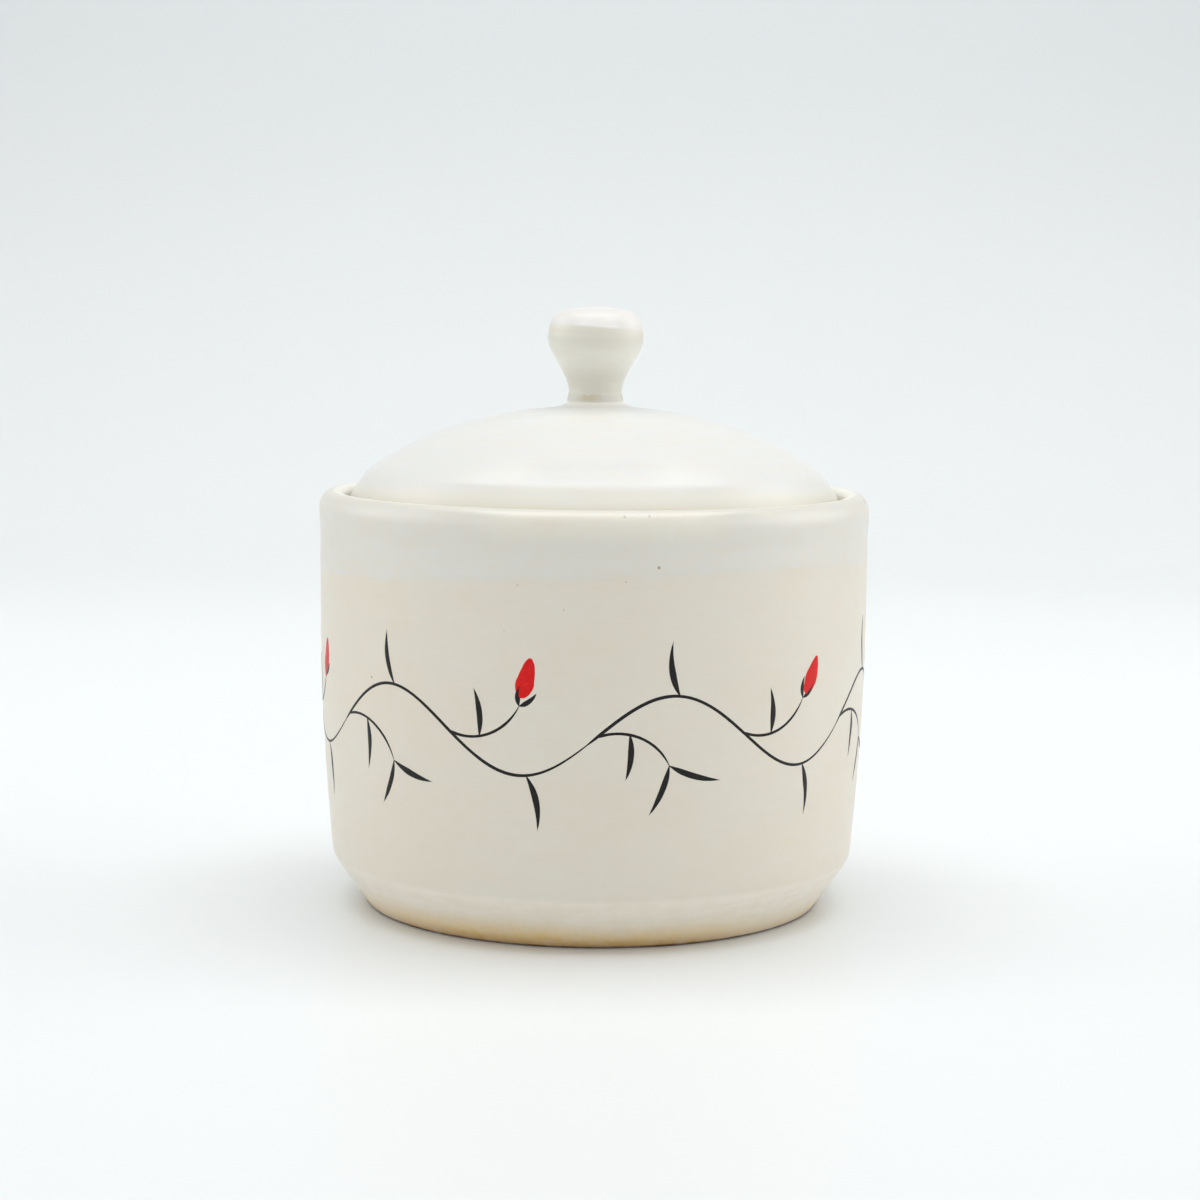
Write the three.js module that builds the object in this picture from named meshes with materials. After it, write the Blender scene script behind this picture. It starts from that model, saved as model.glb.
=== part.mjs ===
// A small lidded pottery jar, as a potter makes it: a thrown body with a gallery inside its lip,
// a domed lid that drops into the gallery, and a turned knob luted to the lid with clay slip.
// Millimetres, +Z up. The origin is the centre of the foot, on the surface that the jar stands on.
import * as THREE from "three";

// Body, outside
const WALL_RADIUS = 47.5; // the wall at its widest
const BODY_HEIGHT = 71.9; // from the foot to the crest of the lip
const UPRIGHT_HEIGHT = 12.7; // upright stretch of the wall below the lip's bead
const WALL_TAPER = 2.1; // how far the wall draws in from there down to the bevel
const BEVEL_WIDTH = 6.1; // trimmed bevel between the wall and the foot, across
const BEVEL_HEIGHT = 8.7; // the same bevel, upwards
const BEAD_FLARE = 0.22; // how far the lip's bead stands out past the wall
const BEAD_HEIGHT = 4; // height over which the wall swells into the bead
const LIP_ROUND = 3.2; // height over which the lip rounds over from the outside to its crest
const LIP_FALL = 1; // how far the crest falls from there to the inside of the lip

// Body, inside and underneath
const WALL_THICKNESS = 4.2;
const FLOOR_THICKNESS = 6;
const INNER_COVE = 8; // radius where the floor meets the wall inside
const FOOT_WIDTH = 7; // width of the standing ring
const FOOT_RECESS = 1.2; // depth of the turned recess inside the standing ring
const FOOT_SLOPE = 1; // width of the recess's sloped edge

// Gallery, the ledge inside the lip that carries the lid
const GALLERY_DEPTH = 4.8; // from the crest of the lip down to the ledge
const GALLERY_WIDTH = 3.5; // how far the ledge stands in from the wall
const GALLERY_EDGE = 2.4; // thickness of the ledge at its inner edge
const GALLERY_HAUNCH = 3.5; // height over which the ledge's underside runs back to the wall

// Lid
const LID_CLEARANCE = 0.9; // between the lid's edge and the inside of the lip, all round
const LID_SEAT_WIDTH = 4.5; // width of the lid's flat underside ring
const LID_EDGE_HEIGHT = 4; // upright edge, mostly down in the gallery
const LID_EDGE_BREAK = 0.6; // bevel on the edge's lower corner
const LID_BAND_WIDTH = 2.9; // steep band above the edge, across
const LID_BAND_HEIGHT = 4.1; // the same band, upwards
const DOME_RISE = 11.4; // from the band to the top of the dome
const DOME_OVERRUN = 10.5; // how far the dome's ellipse would run on past the band
const LID_THICKNESS = 4.2; // at the top of the dome
const BOSS_RISE = 1; // raised seat for the knob, above the dome
const BOSS_FILLET = 3.2; // width of the fillet round that seat

// Luted joint between the lid and the knob
const SLIP_THICKNESS = 0.5;
const SLIP_INSET = 0.15; // how far the slip lies inside the knob's foot

// Knob
const KNOB_FOOT_RADIUS = 4.8;
const KNOB_NECK_RADIUS = 4.6;
const KNOB_NECK_HEIGHT = 0.9; // height of the narrowest place above the knob's foot
const KNOB_FLARE_HEIGHT = 9.6; // from the neck up to the widest place
const KNOB_HEAD_RADIUS = 8.32;
const KNOB_RIM_HEIGHT = 1.7; // from the widest place up to the crease of the cap
const KNOB_RIM_INSET = 0.22; // how far that crease draws in
const CAP_RISE = 3.3; // from the crease to the top
const CAP_LEAN = 0.65; // how far the cap's side leans in above the crease
const CAP_SHOULDER = 1.4; // height over which it leans
const CAP_FULLNESS = 0.98; // how far out the top stays flat, as a share of the crease's radius
const FLARE_HOLD = 0.35; // share of the flare over which its two ends stay upright

// Fineness of the turned surfaces
const JAR_SEGMENTS = 60;
const KNOB_SEGMENTS = 40;
const WALL_STEPS = 7;
const CURVE_STEPS = 8;
const SMALL_STEPS = 4;
const SAME_POINT = 1e-6; // points of a profile that are closer than this are one point

// Places that more than one piece shares
const creaseRadius = WALL_RADIUS - WALL_TAPER;
const footRadius = creaseRadius - BEVEL_WIDTH;
const galleryRadius = WALL_RADIUS - WALL_THICKNESS;
const seatHeight = BODY_HEIGHT - GALLERY_DEPTH;
const lipHeight = BODY_HEIGHT - LIP_ROUND;
const beadFoot = lipHeight - BEAD_HEIGHT;
const bellyHeight = beadFoot - UPRIGHT_HEIGHT;
const domeHeight = LID_EDGE_HEIGHT + LID_BAND_HEIGHT + DOME_RISE;
const bossHeight = domeHeight + BOSS_RISE;

const glaze = new THREE.MeshStandardMaterial({ color: 0xe3ddcf, roughness: 0.42, metalness: 0 });
const lidGlaze = new THREE.MeshStandardMaterial({ color: 0xebe8de, roughness: 0.42, metalness: 0 });
const knobGlaze = new THREE.MeshStandardMaterial({ color: 0xe8e4d8, roughness: 0.4, metalness: 0 });
const bareSlip = new THREE.MeshStandardMaterial({ color: 0xc5bca9, roughness: 0.7, metalness: 0 });

// A point of a profile: distance from the axis, and height
const at = (radius, height) => new THREE.Vector2(radius, height);

// A stretch of an ellipse, from one angle to another
function arc(centre, halfWidth, halfHeight, from, to, steps) {
  const clockwise = to < from;
  const curve = new THREE.EllipseCurve(centre.x, centre.y, halfWidth, halfHeight, from, to, clockwise);
  return curve.getPoints(steps);
}

function bezier(start, startPull, endPull, end, steps) {
  return new THREE.CubicBezierCurve(start, startPull, endPull, end).getPoints(steps);
}

// Heights or radii in equal steps, both ends included
function evenly(from, to, count) {
  return Array.from({ length: count + 1 }, (_, step) => THREE.MathUtils.lerp(from, to, step / count));
}

// A solid turned about the Z axis from its profile, in which the point where two stretches meet counts once
function turned(name, profile, segments, material) {
  const outline = profile.filter((point, i) => i === 0 || point.distanceTo(profile[i - 1]) > SAME_POINT);
  const mesh = new THREE.Mesh(new THREE.LatheGeometry(outline, segments).rotateX(Math.PI / 2), material);
  mesh.name = name;
  return mesh;
}

// Outside of the wall: it comes out from the bevel along a parabola and stands upright above the belly
function wallRadius(height) {
  const below = Math.max(0, (bellyHeight - height) / (bellyHeight - BEVEL_HEIGHT));
  return WALL_RADIUS - WALL_TAPER * below ** 2;
}

function wall(from, to, inset) {
  return evenly(from, to, WALL_STEPS).map((height) => at(wallRadius(height) - inset, height));
}

// The lip: a bead that swells out of the wall, and a crest that rounds over to the gallery, flatter inside
function lip() {
  const beadRadius = WALL_RADIUS + BEAD_FLARE;
  const middle = (beadFoot + lipHeight) / 2;
  const bead = bezier(
    at(WALL_RADIUS, beadFoot),
    at(WALL_RADIUS, middle),
    at(beadRadius, middle),
    at(beadRadius, lipHeight),
    SMALL_STEPS,
  );
  const halfWidth = (beadRadius - galleryRadius) / 2;
  const outerCentre = at(galleryRadius + halfWidth, lipHeight);
  const innerCentre = at(galleryRadius + halfWidth, BODY_HEIGHT - LIP_FALL);
  return [
    ...bead,
    ...arc(outerCentre, halfWidth, LIP_ROUND, 0, Math.PI / 2, SMALL_STEPS),
    ...arc(innerCentre, halfWidth, LIP_FALL, Math.PI / 2, Math.PI, SMALL_STEPS),
  ];
}

// The body, from the middle of its underside round over the lip to the middle of its floor
function jarProfile() {
  const floorHeight = FOOT_RECESS + FLOOR_THICKNESS;
  const coveHeight = floorHeight + INNER_COVE;
  const coveCentre = at(wallRadius(coveHeight) - WALL_THICKNESS - INNER_COVE, coveHeight);
  const mouthRadius = galleryRadius - GALLERY_WIDTH;
  const ledgeFoot = seatHeight - GALLERY_EDGE - GALLERY_HAUNCH;
  const recessRadius = footRadius - FOOT_WIDTH;
  return [
    at(0, FOOT_RECESS),
    at(recessRadius - FOOT_SLOPE, FOOT_RECESS),
    at(recessRadius, 0),
    at(footRadius, 0),
    ...wall(BEVEL_HEIGHT, beadFoot, 0),
    ...lip(),
    at(galleryRadius, seatHeight),
    at(mouthRadius, seatHeight),
    at(mouthRadius, seatHeight - GALLERY_EDGE),
    ...wall(ledgeFoot, coveHeight, WALL_THICKNESS),
    ...arc(coveCentre, INNER_COVE, INNER_COVE, 0, -Math.PI / 2, SMALL_STEPS),
    at(0, floorHeight),
  ];
}

// The lid, with its seat on the gallery at height 0. The dome is the top of an ellipse.
function lidProfile() {
  const edgeRadius = galleryRadius - LID_CLEARANCE;
  const bandRadius = edgeRadius - LID_BAND_WIDTH;
  const bandHeight = LID_EDGE_HEIGHT + LID_BAND_HEIGHT;
  const ellipseWidth = bandRadius + DOME_OVERRUN;
  const ellipseHeight = DOME_RISE / (1 - Math.sqrt(1 - (bandRadius / ellipseWidth) ** 2));
  const fall = (radius) => ellipseHeight * (1 - Math.sqrt(1 - (radius / ellipseWidth) ** 2));
  const dome = (radius) => at(radius, domeHeight - fall(radius));
  const filletRadius = KNOB_FOOT_RADIUS + BOSS_FILLET;
  const bossEdge = at(KNOB_FOOT_RADIUS, bossHeight);
  const fillet = new THREE.QuadraticBezierCurve(dome(filletRadius), dome(KNOB_FOOT_RADIUS), bossEdge);
  const hollowRadius = edgeRadius - LID_SEAT_WIDTH;
  return [
    ...arc(at(0, 0), hollowRadius, domeHeight - LID_THICKNESS, Math.PI / 2, 0, CURVE_STEPS),
    at(edgeRadius - LID_EDGE_BREAK, 0),
    at(edgeRadius, LID_EDGE_BREAK),
    at(edgeRadius, LID_EDGE_HEIGHT),
    at(bandRadius, bandHeight),
    ...evenly(bandRadius, filletRadius, CURVE_STEPS).map(dome),
    ...fillet.getPoints(SMALL_STEPS),
    at(0, bossHeight),
  ];
}

function slipProfile() {
  const radius = KNOB_FOOT_RADIUS - SLIP_INSET;
  return [at(0, 0), at(radius, 0), at(radius, SLIP_THICKNESS), at(0, SLIP_THICKNESS)];
}

// The knob, with its foot at height 0: a narrow neck that flares to a rounded head with a low cap
function knobProfile() {
  const headHeight = KNOB_NECK_HEIGHT + KNOB_FLARE_HEIGHT;
  const hold = KNOB_FLARE_HEIGHT * FLARE_HOLD;
  const rimRadius = KNOB_HEAD_RADIUS - KNOB_RIM_INSET;
  const rimHeight = headHeight + KNOB_RIM_HEIGHT;
  const topHeight = rimHeight + CAP_RISE;
  return [
    at(0, 0),
    at(KNOB_FOOT_RADIUS, 0),
    ...bezier(
      at(KNOB_NECK_RADIUS, KNOB_NECK_HEIGHT),
      at(KNOB_NECK_RADIUS, KNOB_NECK_HEIGHT + hold),
      at(KNOB_HEAD_RADIUS, headHeight - hold),
      at(KNOB_HEAD_RADIUS, headHeight),
      CURVE_STEPS,
    ),
    ...bezier(
      at(rimRadius, rimHeight),
      at(rimRadius - CAP_LEAN, rimHeight + CAP_SHOULDER),
      at(rimRadius * CAP_FULLNESS, topHeight),
      at(0, topHeight),
      CURVE_STEPS,
    ),
  ];
}

const jar = new THREE.Group();
jar.add(turned("jar_body", jarProfile(), JAR_SEGMENTS, glaze));

// The lid's own group stands on the gallery, and what is luted to it moves with it
const lid = new THREE.Group();
lid.position.z = seatHeight;
lid.add(turned("lid", lidProfile(), JAR_SEGMENTS, lidGlaze));

const slip = turned("knob_luting_slip", slipProfile(), KNOB_SEGMENTS, bareSlip);
slip.position.z = bossHeight;
lid.add(slip);

const knob = turned("knob", knobProfile(), KNOB_SEGMENTS, knobGlaze);
knob.position.z = bossHeight + SLIP_THICKNESS;
lid.add(knob);

jar.add(lid);

export default jar;
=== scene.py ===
"""Dresses a small lidded pottery jar: glazed clay, a brushed vine round the wall, and a pale studio."""
import math
from functools import partial

import bpy
import numpy as np
from bpy.props import FloatProperty, FloatVectorProperty, IntProperty, PointerProperty
from mathutils import Euler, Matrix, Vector


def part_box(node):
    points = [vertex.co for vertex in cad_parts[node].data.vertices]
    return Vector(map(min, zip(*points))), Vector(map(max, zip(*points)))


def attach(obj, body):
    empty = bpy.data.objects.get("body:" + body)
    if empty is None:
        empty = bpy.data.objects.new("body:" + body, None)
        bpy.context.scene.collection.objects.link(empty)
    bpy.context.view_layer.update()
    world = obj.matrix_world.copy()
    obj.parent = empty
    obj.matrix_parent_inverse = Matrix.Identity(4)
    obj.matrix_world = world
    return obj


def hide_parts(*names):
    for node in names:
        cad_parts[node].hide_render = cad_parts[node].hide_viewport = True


bl_info = {
    "name": "Lidded Pottery Jar",
    "version": (1, 0, 0),
    "blender": (4, 5, 0),
    "location": "View3D > Sidebar > Jar",
    "description": "Throws, glazes and decorates a small lidded jar, and sets it in a pale studio",
    "category": "Object",
}

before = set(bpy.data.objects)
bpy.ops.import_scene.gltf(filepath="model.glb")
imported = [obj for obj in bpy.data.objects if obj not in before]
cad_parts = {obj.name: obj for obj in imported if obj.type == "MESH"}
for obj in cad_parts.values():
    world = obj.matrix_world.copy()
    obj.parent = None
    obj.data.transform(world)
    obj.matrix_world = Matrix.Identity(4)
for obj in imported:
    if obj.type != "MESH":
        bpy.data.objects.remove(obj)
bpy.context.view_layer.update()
BODY_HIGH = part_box("jar_body")[1]
LID_LOW, LID_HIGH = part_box("lid")
SLIP_LOW, SLIP_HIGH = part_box("knob_luting_slip")
KNOB_LOW, KNOB_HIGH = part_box("knob")

MM = 0.001
FULL_TURN = 2 * math.pi


def size(name, millimetres, description):
    """A length that a user can set, with its default in millimetres."""
    default = millimetres * MM
    return FloatProperty(name=name, description=description, default=default, unit="LENGTH", precision=5)


def share(name, value, description):
    """A plain number from 0 to 1 that a user can set."""
    return FloatProperty(name=name, description=description, default=value, min=0, max=1, subtype="FACTOR")


def turn(name, degrees, description):
    """An angle that a user can set, with its default in degrees."""
    return FloatProperty(name=name, description=description, default=math.radians(degrees), unit="ROTATION")


def number(name, value, description):
    """A count that a user can set."""
    return IntProperty(name=name, description=description, default=value, min=1)


def power(name, watts, description):
    """The strength of a lamp in watts."""
    return FloatProperty(name=name, description=description, default=watts, min=0, unit="POWER")


def colour(name, red, green, blue, description):
    """A colour that a user can set, given as a screen shows it, from 0 to 255."""
    return FloatVectorProperty(
        name=name,
        description=description,
        default=[linear(channel / 255) for channel in (red, green, blue)],
        min=0,
        max=1,
        subtype="COLOR",
    )


def linear(value):
    """A screen's brightness, from 0 to 1, as the light that it stands for."""
    if value <= 0.04045:
        return value / 12.92
    return ((value + 0.055) / 1.055) ** 2.4


class JarBodySizes(bpy.types.PropertyGroup):
    """Sizes of the thrown body"""

    wall_taper: size("Wall taper", 2.1, "How far the wall draws in from its upright top down to the bevel")
    upright_height: size("Upright height", 12.7, "Upright stretch of the wall below the lip's bead")
    bevel_width: size("Bevel width", 6.1, "Trimmed bevel between the wall and the foot, across")
    bevel_height: size("Bevel height", 8.7, "Trimmed bevel between the wall and the foot, upwards")
    bead_flare: size("Bead flare", 0.22, "How far the lip's bead stands out past the wall")
    bead_height: size("Bead height", 4, "Height over which the wall swells into the bead")
    lip_round: size("Lip round", 3.2, "Height over which the lip rounds over from the outside to its crest")
    lip_fall: size("Lip fall", 1, "How far the crest falls from there to the inside of the lip")
    wall_thickness: size("Wall thickness", 4.2, "Thickness of the wall")
    floor_thickness: size("Floor thickness", 6, "Thickness of the floor above the foot's recess")
    inner_cove: size("Inner cove", 8, "Radius where the floor meets the wall inside")
    foot_width: size("Foot width", 7, "Width of the standing ring")
    foot_recess: size("Foot recess", 1.2, "Depth of the turned recess inside the standing ring")
    foot_slope: size("Foot slope", 1, "Width of the recess's sloped edge")
    gallery_width: size("Gallery width", 3.5, "How far the lid's ledge stands in from the wall")
    gallery_edge: size("Gallery edge", 2.4, "Thickness of the ledge at its inner edge")
    gallery_haunch: size("Gallery haunch", 3.5, "Height over which the ledge runs back to the wall")
    softness: size("Softness", 0.5, "How far the glaze and the potter's sponge round off the edges")
    foot_softness: size("Foot softness", 0.15, "How far the wiped foot's edge is rounded off")
    ring_depth: size("Ring depth", 0.022, "Depth of the throwing rings that still show outside")
    ring_pitch: size("Ring pitch", 5.6, "Height from one throwing ring outside to the next")
    groove_depth: size("Groove depth", 0.16, "Depth of the finger grooves inside")
    groove_pitch: size("Groove pitch", 5.2, "Height from one finger groove to the next")
    lathe_depth: size("Lathe depth", 0.03, "Depth of the trimming lines underneath")
    lathe_pitch: size("Lathe pitch", 1.9, "Distance from one trimming line to the next")
    ovality: size("Ovality", 0.09, "How far the fired body is out of round")
    oval_turn: turn("Oval turn", 50, "Where it is widest, round from the front")
    dip_height: size("Dip height", 60, "Height of the second glaze's edge, on average")
    dip_tilt: size("Dip tilt", 1.22, "How far that edge tilts, because the jar was dipped by hand")
    dip_turn: turn("Dip turn", 37.8, "Where that edge is tilted up, round from the front")
    dip_sway: size("Dip sway", 0.73, "How far that edge sways twice in a turn")
    sway_turn: turn("Sway turn", 28.4, "Where that sway is up, round from the front")
    dip_thickness: size("Dip thickness", 0.07, "Thickness of the roll of glaze along that edge")
    toast_height: size("Toast height", 6, "How far up the bevel the kiln has toasted the clay")
    toast_sides: share("Toast sides", 0.4, "How strong the toast is away from the front, next to the front")
    scorch_height: size("Scorch height", 2.7, "How far up the kiln has browned the clay")
    scorch_line: size("Scorch line", 0.55, "Height of the dark line where the jar stands")
    segments: number("Segments", 216, "Number of steps round the turned body")


class LidSizes(bpy.types.PropertyGroup):
    """Sizes of the lid, the slip under the knob and the knob"""

    seat_width: size("Seat width", 4.5, "Width of the lid's flat underside ring")
    edge_height: size("Edge height", 4, "Upright edge, mostly down in the gallery")
    edge_break: size("Edge break", 0.6, "Bevel on the edge's lower corner")
    band_width: size("Band width", 2.9, "Steep band above the edge, across")
    band_height: size("Band height", 4.1, "Steep band above the edge, upwards")
    dome_overrun: size("Dome overrun", 10.5, "How far the dome's ellipse would run on past the band")
    thickness: size("Thickness", 4.2, "Thickness at the top of the dome")
    boss_rise: size("Boss rise", 1, "Raised seat for the knob, above the dome")
    boss_fillet: size("Boss fillet", 3.2, "Width of the fillet round that seat")
    softness: size("Lid softness", 0.45, "How far the glaze rounds off the lid's edges")
    ring_depth: size("Lid ring depth", 0.02, "Depth of the trimming rings on the dome")
    ring_pitch: size("Lid ring pitch", 4.4, "Distance from one trimming ring to the next")
    ovality: size("Lid ovality", 0.06, "How far the fired lid is out of round")
    oval_turn: turn("Lid oval turn", 148, "Where it is widest, round from the front")
    segments: number("Lid segments", 192, "Number of steps round the turned lid")
    slip_reach: size("Slip reach", 4.9, "Radius where the slip, wiped smooth round the joint, meets the lid")
    slip_belly: size("Slip belly", 4.86, "Radius that draws the slip's outside out over the knob's foot")
    slip_top: size("Slip top", 4.66, "Radius where that slip meets the knob")
    slip_below: size("Slip below", 0.4, "How far that slip reaches down over the lid")
    slip_above: size("Slip above", 0.7, "How far that slip reaches up over the knob")
    knob_foot: size("Knob foot", 4.8, "Radius of the knob's foot")
    knob_neck: size("Knob neck", 4.6, "Radius of the knob's narrowest place")
    neck_height: size("Neck height", 0.9, "Height of the narrowest place above the knob's foot")
    flare_height: size("Flare height", 9.6, "From the neck up to the widest place")
    rim_height: size("Rim height", 1.7, "From the widest place up to the crease of the cap")
    rim_inset: size("Rim inset", 0.22, "How far that crease draws in")
    flare_hold: share("Flare hold", 0.35, "Share of the flare over which its two ends stay upright")
    cap_lean: size("Cap lean", 0.65, "How far the cap's side leans in above the crease")
    cap_shoulder: size("Cap shoulder", 1.4, "Height over which it leans")
    cap_fullness: share("Cap fullness", 0.98, "How far out the cap's top stays flat")
    cap_tilt: size("Cap tilt", 0.6, "How far the cap's glaze runs down at the right and up at the left")
    knob_softness: size("Knob softness", 0.16, "How far the glaze rounds off the knob's edges")
    knob_line_depth: size("Knob line depth", 0.012, "Depth of the trimming lines on the knob's flare")
    knob_line_pitch: size("Knob line pitch", 1.6, "Height from one of those lines to the next")
    knob_segments: number("Knob segments", 128, "Number of steps round the turned knob")


class VineSizes(bpy.types.PropertyGroup):
    """Sizes of the brushed vine round the wall"""

    repeats: number("Repeats", 6, "Waves of the vine in one turn round the wall")
    start: turn("Start", 1, "Where the first wave starts, round from the front")
    centre: size("Centre", 36, "Height of the middle of the wave")
    rise: size("Rise", 6.5, "How far the wave swings up and down")
    stem_width: size("Stem width", 0.56, "Width of the stem's line")
    leaf_width: size("Leaf width", 1.15, "Width of a leaf at its widest")
    leaf_length: size("Leaf length", 9, "Length of a leaf")
    branch_length: size("Branch length", 15, "Length of the line that carries a bud or a spray of leaves")
    branch_bend: turn("Branch bend", 85, "How far such a line turns along its length")
    bud_length: size("Bud length", 7, "Length of a bud")
    bud_width: size("Bud width", 4.4, "Width of a bud at its widest")
    sepal_length: size("Sepal length", 3.6, "Length of the two short lines that hold a bud")
    paint_lift: size("Paint lift", 0.03, "How far the paint stands above the glaze")
    paint_root: size("Paint root", 0.02, "How far its edges sink into the glaze")


class JarColours(bpy.types.PropertyGroup):
    """Colours of the glazes, clay and brushwork"""

    wall: colour("Wall", 218, 213, 201, "First glaze, on the wall")
    wall_warm: colour("Warm wall", 218, 207, 188, "First glaze where it lies thin")
    dip: colour("Dip", 215, 214, 207, "Second glaze, round the top")
    lip: colour("Lip", 205, 204, 196, "Second glaze where it runs thin over the lip")
    # Painted light: the second glaze drawn lighter where the lip and the band below it face the front.
    lip_front_painted_light: colour("Front lip", 223, 220, 208, "Second glaze where it lies thick at the front")
    # Whiter glaze on the bevel, and painted light: drawn lighter still because the bevel faces down and gets
    # little light.
    bevel: colour("Bevel", 231, 224, 211, "Glaze on the trimmed bevel")
    lid: colour("Lid", 213, 214, 211, "Glaze on the lid")
    # Painted shade: a darker ring low on the dome where it faces the front.
    lid_shoulder_painted_shade: colour("Lid shoulder", 204, 205, 202, "Glaze where it thins out low on the dome")
    # A warmer tint on the lid's steep band below the crease, also used in the dust on bare clay.
    lid_warm: colour("Warm lid", 217, 216, 207, "Glaze where it runs thin over the lid's edges")
    # Painted shade: the lid's edge drawn darker as it goes down into the gallery.
    lid_edge_painted_shade: colour("Lid edge", 206, 203, 190, "Thinnest glaze, where the lid goes down into the jar")
    knob: colour("Knob", 216, 214, 202, "Glaze on the knob's flare")
    # Thick glaze round the knob's seat, and painted light where this colour lightens the flare's middle, the
    # gallery and the foot of the lid's edge.
    pool: colour("Pool", 232, 231, 222, "Thick glaze on the flare, round the knob's seat and in the gallery")
    cap: colour("Cap", 216, 215, 213, "Thicker glaze on the knob's cap")
    # Painted highlight: a paler roll along the cap's lower edge, strongest at the front.
    cap_roll_painted_light: colour("Cap roll", 240, 239, 237, "Thickest glaze, along the cap's lower edge")
    clay: colour("Clay", 198, 180, 148, "Bare fired clay")
    slip: colour("Slip", 214, 212, 204, "Clay slip in the knob's joint, under thin glaze")
    slip_bare: colour("Bare slip", 206, 196, 172, "That slip where no glaze covers it")
    flash: colour("Flash", 225, 192, 117, "Clay toasted by the kiln along the foot")
    scorch: colour("Scorch", 138, 80, 10, "Clay browned by the kiln low on the foot")
    # Browned clay, darkened further as painted contact shadow, in the line where the jar stands.
    char: colour("Char", 84, 48, 8, "Darkest clay, in the line where the jar stands")
    iron: colour("Iron", 88, 66, 46, "Iron specks that burn through the glaze")
    black: colour("Black", 14, 12, 11, "Brushed black")
    black_thin: colour("Thin black", 44, 40, 38, "Brushed black where it lies thin")
    red: colour("Red", 206, 4, 4, "Brushed red")
    red_thin: colour("Thin red", 224, 44, 30, "Brushed red where it lies thin")
    paper: colour("Paper", 226, 229, 229, "Floor and backdrop")
    # Painted shade: the backdrop drawn darker higher up, where less light reaches it.
    paper_top_painted_shade: colour("Top paper", 215, 219, 220, "The backdrop higher up, where its tint is graded darker")


class StudioSettings(bpy.types.PropertyGroup):
    """Camera, lamps and backdrop"""

    camera_back: size("Camera back", 459.3, "How far the camera stands in front of the jar's axis")
    camera_side: size("Camera side", 1.15, "How far the camera stands to the right of the jar's axis")
    camera_height: size("Camera height", 104.06, "Height of the camera")
    camera_pitch: turn("Camera pitch", 6.39, "How far the camera looks down")
    camera_roll: turn("Camera roll", 0.53, "How far the camera is tilted to its side")
    lens: FloatProperty(
        name="Lens", description="Focal length on a 36 mm sensor", default=79.15, unit="CAMERA"
    )
    front_power: power("Front lamp", 2.36, "Large soft lamp above and in front")
    top_power: power("Top lamp", 7.78, "Large soft lamp straight above")
    left_power: power("Left lamp", 1.95, "Soft lamp at the left")
    right_power: power("Right lamp", 2.76, "Soft lamp at the right")
    wash_power: power("Wash lamp", 2.72, "Long lamp that washes the floor behind the jar and the backdrop")
    surround: FloatProperty(
        name="Surround", description="Strength of the pale light low all round", default=1.14, min=0
    )
    floor_front: size("Floor front", 3000, "How far the floor runs to the front")
    floor_back: size("Floor back", 550, "Where the floor starts to rise into the backdrop")
    sweep_radius: size("Sweep radius", 700, "Radius of the bend from the floor to the backdrop")
    sweep_height: size("Sweep height", 2000, "Height of the backdrop")
    sweep_width: size("Sweep width", 3000, "Half the width of the floor and the backdrop")
    floor_reach: size("Floor reach", 8000, "How far the outer floor runs on each side of the jar")
    floor_drop: size("Floor drop", 1, "How far the outer floor lies below the inner one")


# Profiles: rows of (distance from the axis, height)

SOFT_STEPS = 4  # steps of a line in one softness
SOFT_REACH = 12  # steps to each side that rounding off takes in
FINE_STEP = 0.5 * MM  # from one ring of points to the next, where the jar shows
COARSE_STEP = 0.8 * MM  # the same inside the jar
KNOB_STEP = 0.25 * MM  # the same on the knob
SLIP_STEP = 0.1 * MM  # the same on the slip
LONG_CURVE = 60  # steps of the wall's curve, outside and inside
DOME_CURVE = 80  # steps of the lid's dome
NEAR = 0.3 * MM  # how far a rounded edge may lie off the plain outline
FADE = 1 * MM  # distance over which the marks of the hand fade out


def evenly(start, end, count):
    return np.linspace(start, end, count + 1)


def bezier(*pulls, count=24):
    """A smooth curve between the first and the last point, drawn towards those in between."""
    done = evenly(0, 1, count)[:, None]
    degree = len(pulls) - 1
    curve = 0
    for i, pull in enumerate(pulls):
        weight = math.comb(degree, i) * done**i * (1 - done) ** (degree - i)
        curve = curve + weight * np.array(pull)
    return curve


def arc(centre, half_width, half_height, start, end, count=24):
    """A stretch of an ellipse between two angles in degrees."""
    angles = np.radians(evenly(start, end, count))
    return np.array(centre) + np.column_stack([half_width * np.cos(angles), half_height * np.sin(angles)])


def resampled(points, spacing):
    """The same line with its points at an even spacing."""
    travelled = np.concatenate([[0], np.cumsum(np.linalg.norm(np.diff(points, axis=0), axis=1))])
    count = max(2, round(travelled[-1] / spacing))
    stops = evenly(0, travelled[-1], count)
    return np.column_stack([np.interp(stops, travelled, points[:, axis]) for axis in range(2)])


def softened(points, softness):
    """The same line with its corners rounded off, as glaze and sponge round them. Its two ends stay."""
    spacing = softness / SOFT_STEPS
    fine = resampled(points, spacing)
    reach = np.arange(-SOFT_REACH, SOFT_REACH + 1)
    weights = np.exp(-0.5 * (reach * spacing / softness) ** 2)
    weights /= weights.sum()
    before = 2 * fine[0] - fine[SOFT_REACH:0:-1]
    after = 2 * fine[-1] - fine[-2 : -2 - SOFT_REACH : -1]
    padded = np.vstack([before, fine, after])
    return np.column_stack([np.convolve(padded[:, axis], weights, mode="valid") for axis in range(2)])


def ramp(value, start, end):
    """0 before start and 1 after end, with a smooth step between them."""
    done = np.clip((value - start) / (end - start), 0, 1)
    return done * done * (3 - 2 * done)


def new_piece(name, points, faces, material):
    """A smooth mesh object in the scene with one material."""
    mesh = bpy.data.meshes.new(name)
    mesh.from_pydata([tuple(point) for point in points], [], faces)
    mesh.shade_smooth()
    mesh.materials.append(material)
    piece = bpy.data.objects.new(name, mesh)
    bpy.context.scene.collection.objects.link(piece)
    return piece


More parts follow.
